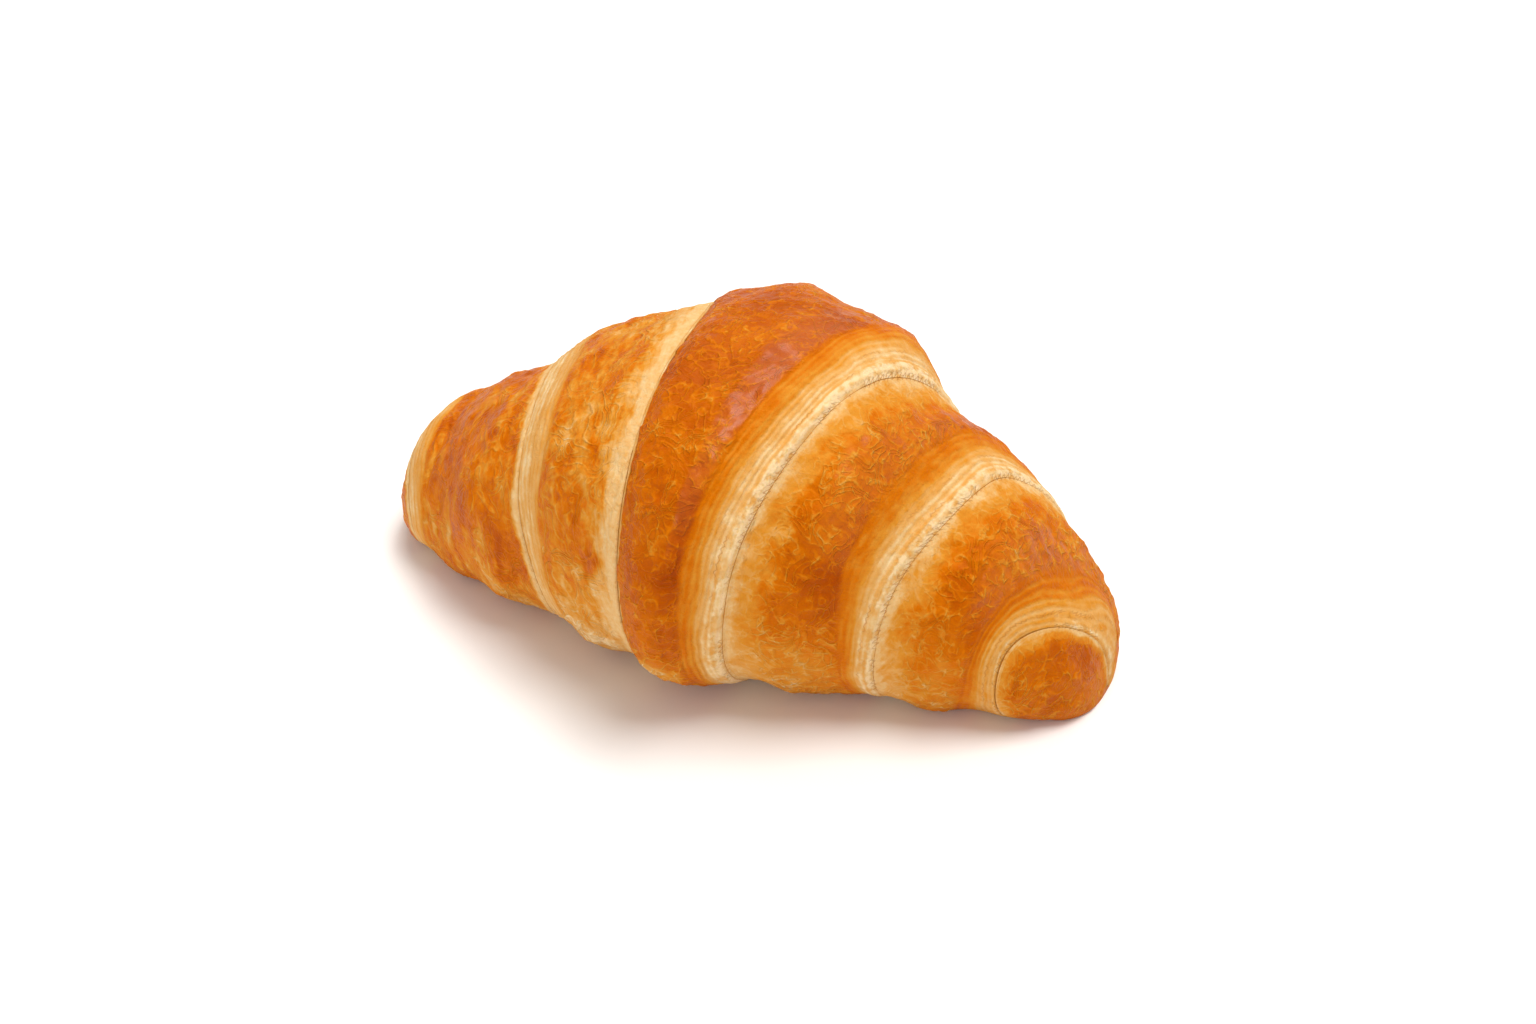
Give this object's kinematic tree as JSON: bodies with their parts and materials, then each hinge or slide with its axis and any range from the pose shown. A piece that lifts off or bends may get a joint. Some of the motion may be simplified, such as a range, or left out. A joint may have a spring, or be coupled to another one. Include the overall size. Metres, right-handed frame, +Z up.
{
  "type": "croissant",
  "caption": "Baked butter croissant, rolled from a tapering sheet of layered dough, lying on its flat underside with both ends bent slightly back.",
  "frame": {"origin": "on the table, under the middle of the croissant's bounding box", "axes": "+Z up, +X along the length towards the end shown nearest in the picture, -Y towards the side the picture shows"},
  "size_m": [0.14, 0.0834, 0.0634],
  "materials": {
    "crust": "baked pastry crust, brown and glossy on the wraps, pale cream and matt where the layers show"
  },
  "bodies": {
    "root": {"croissant": "crust"}
  },
  "joints": []
}
